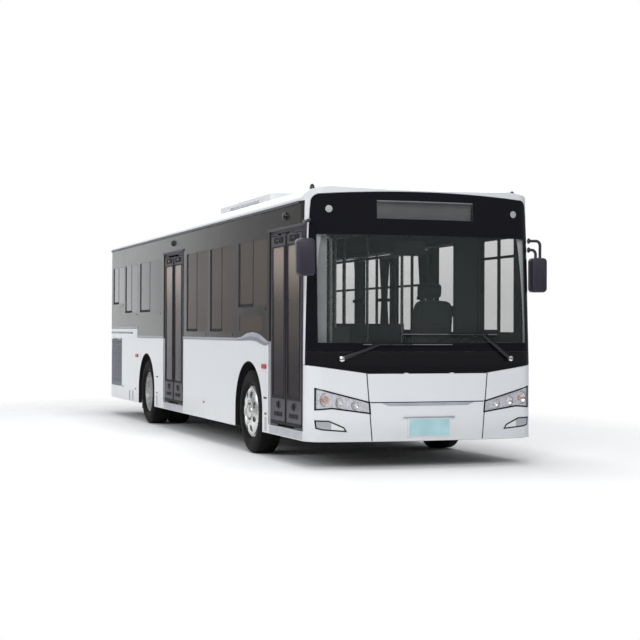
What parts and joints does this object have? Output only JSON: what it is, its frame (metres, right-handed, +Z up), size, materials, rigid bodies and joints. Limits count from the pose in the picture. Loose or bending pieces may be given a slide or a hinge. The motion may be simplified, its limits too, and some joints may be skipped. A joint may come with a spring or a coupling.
{
  "type": "coach bus",
  "caption": "Low-floor city bus with raked windscreen, black window band, inward-gliding doors, roof air conditioner, steered front wheels and opening service hatches.",
  "frame": {"origin": "on the ground below the middle of the overall length and width", "axes": "+Z up, the front faces -Y, the kerb (door) side is -X, length along Y"},
  "size_m": [2.875, 10.6226, 3.05],
  "materials": {
    "body_white": "gloss",
    "band_black": "gloss",
    "glass_tinted": "gloss",
    "glass_clear": "gloss",
    "glass_door": "gloss",
    "door_frame": "satin",
    "floor_grey": "matte",
    "chassis_black": "satin",
    "engine_iron": "matte",
    "lamp_clear": "gloss",
    "lamp_housing": "satin",
    "lamp_red": "gloss",
    "sign_grey": "satin",
    "dashboard": "matte",
    "seat_cloth": "satin",
    "seat_shell": "satin",
    "rubber_black": "matte",
    "rail_steel": "satin",
    "camera_black": "gloss",
    "flap_grey": "satin",
    "mirror_housing": "satin",
    "wiper_black": "satin",
    "tyre": "matte",
    "rim_steel": "satin"
  },
  "bodies": {
    "root": {"air_conditioner": "body_white", "dashboard": "dashboard", "door_domes": "camera_black", "door_tracks": "door_frame", "drip_rails": "rubber_black", "driver_seat": "seat_cloth", "engine": "engine_iron", "floor": "floor_grey", "front_axle": "chassis_black", "front_bumper": "body_white", "front_corners": "body_white", "front_pillars": "body_white", "handrails": "rail_steel", "lamp_covers": "lamp_clear", "lamp_housings": "lamp_housing", "marker_lamps": "lamp_red", "mirrors": "mirror_housing", "mud_flaps": "rubber_black", "passenger_seats": "seat_shell", "rear_axle": "chassis_black", "rear_bumper": "body_white", "rear_wall": "body_white", "roof": "body_white", "roof_hatches": "body_white", "side_skirts": "body_white", "sign_box": "sign_grey", "steering_wheel": "rubber_black", "tail_lamps": "lamp_red", "underframe": "chassis_black", "window_bands": "band_black", "windows": "glass_tinted", "windscreen": "glass_clear", "wiper_panel": "band_black", "wipers": "wiper_black"},
    "left_knuckle": {"left_knuckle": "chassis_black"},
    "right_knuckle": {"right_knuckle": "chassis_black"},
    "front_left_wheel": {"front_left_tyre": "tyre", "front_left_rim": "rim_steel"},
    "front_right_wheel": {"front_right_tyre": "tyre", "front_right_rim": "rim_steel"},
    "rear_left_wheels": {"rear_left_tyres": "tyre", "rear_left_rims": "rim_steel"},
    "rear_right_wheels": {"rear_right_tyres": "tyre", "rear_right_rims": "rim_steel"},
    "front_hatch": {"front_hatch": "body_white"},
    "engine_hatch": {"engine_hatch": "body_white"},
    "radiator_flap": {"radiator_flap": "flap_grey"},
    "front_door_fore_post": {"front_door_fore_post": "door_frame"},
    "front_door_fore_leaf": {"front_door_fore_leaf": "door_frame", "front_door_fore_glass": "glass_door"},
    "front_door_aft_post": {"front_door_aft_post": "door_frame"},
    "front_door_aft_leaf": {"front_door_aft_leaf": "door_frame", "front_door_aft_glass": "glass_door"},
    "middle_door_fore_post": {"middle_door_fore_post": "door_frame"},
    "middle_door_fore_leaf": {"middle_door_fore_leaf": "door_frame", "middle_door_fore_glass": "glass_door"},
    "middle_door_aft_post": {"middle_door_aft_post": "door_frame"},
    "middle_door_aft_leaf": {"middle_door_aft_leaf": "door_frame", "middle_door_aft_glass": "glass_door"}
  },
  "joints": [
    {"name": "left_steer", "type": "hinge", "parent": "root", "child": "left_knuckle", "pos_m": [0.97, -2.95875, 0.47], "axis": [0, 0, 1], "range_deg": [-40, 40]},
    {"name": "front_left_spin", "type": "hinge", "parent": "left_knuckle", "child": "front_left_wheel", "pos_m": [1.0975, -2.95875, 0.47], "axis": [1, 0, 0], "continuous": true},
    {"name": "rear_left_spin", "type": "hinge", "parent": "root", "child": "rear_left_wheels", "pos_m": [0.96, 2.44125, 0.47], "axis": [1, 0, 0], "continuous": true},
    {"name": "right_steer", "type": "hinge", "parent": "root", "child": "right_knuckle", "pos_m": [-0.97, -2.95875, 0.47], "axis": [0, 0, 1], "range_deg": [-40, 40]},
    {"name": "front_right_spin", "type": "hinge", "parent": "right_knuckle", "child": "front_right_wheel", "pos_m": [-1.0975, -2.95875, 0.47], "axis": [1, 0, 0], "continuous": true},
    {"name": "rear_right_spin", "type": "hinge", "parent": "root", "child": "rear_right_wheels", "pos_m": [-0.96, 2.44125, 0.47], "axis": [1, 0, 0], "continuous": true},
    {"name": "front_door_fore_swing", "type": "hinge", "parent": "root", "child": "front_door_fore_post", "pos_m": [-1.228, -4.86475, 1.4], "axis": [0, 0, -1], "range_deg": [0, 85]},
    {"name": "front_door_fore_glide", "type": "hinge", "parent": "front_door_fore_post", "child": "front_door_fore_leaf", "pos_m": [-1.228, -4.61825, 1.4], "axis": [0, 0, -1], "range_deg": [-170, 0]},
    {"name": "front_door_aft_swing", "type": "hinge", "parent": "root", "child": "front_door_aft_post", "pos_m": [-1.228, -3.78275, 1.4], "axis": [0, 0, 1], "range_deg": [0, 85]},
    {"name": "front_door_aft_glide", "type": "hinge", "parent": "front_door_aft_post", "child": "front_door_aft_leaf", "pos_m": [-1.228, -4.02925, 1.4], "axis": [0, 0, 1], "range_deg": [-170, 0]},
    {"name": "middle_door_fore_swing", "type": "hinge", "parent": "root", "child": "middle_door_fore_post", "pos_m": [-1.228, 0.19525, 1.4], "axis": [0, 0, -1], "range_deg": [0, 85]},
    {"name": "middle_door_fore_glide", "type": "hinge", "parent": "middle_door_fore_post", "child": "middle_door_fore_leaf", "pos_m": [-1.228, 0.44175, 1.4], "axis": [0, 0, -1], "range_deg": [-170, 0]},
    {"name": "middle_door_aft_swing", "type": "hinge", "parent": "root", "child": "middle_door_aft_post", "pos_m": [-1.228, 1.27725, 1.4], "axis": [0, 0, 1], "range_deg": [0, 85]},
    {"name": "middle_door_aft_glide", "type": "hinge", "parent": "middle_door_aft_post", "child": "middle_door_aft_leaf", "pos_m": [-1.228, 1.03075, 1.4], "axis": [0, 0, 1], "range_deg": [-170, 0]},
    {"name": "front_hatch_lift", "type": "hinge", "parent": "root", "child": "front_hatch", "pos_m": [0, -5.18325, 0.956], "axis": [-1, 0, 0], "range_deg": [0, 75]},
    {"name": "engine_hatch_lift", "type": "hinge", "parent": "root", "child": "engine_hatch", "pos_m": [0, 5.30318, 1.637], "axis": [1, 0, 0], "range_deg": [0, 75]},
    {"name": "radiator_flap_lift", "type": "hinge", "parent": "root", "child": "radiator_flap", "pos_m": [-1.258, 4.71625, 1.237], "axis": [0, 1, 0], "range_deg": [0, 75]}
  ],
  "couplings": [
    {"joint": "right_steer", "follows": "left_steer", "ratio": 1},
    {"joint": "front_door_fore_glide", "follows": "front_door_fore_swing", "ratio": -2},
    {"joint": "front_door_aft_glide", "follows": "front_door_aft_swing", "ratio": -2},
    {"joint": "middle_door_fore_glide", "follows": "middle_door_fore_swing", "ratio": -2},
    {"joint": "middle_door_aft_glide", "follows": "middle_door_aft_swing", "ratio": -2}
  ]
}
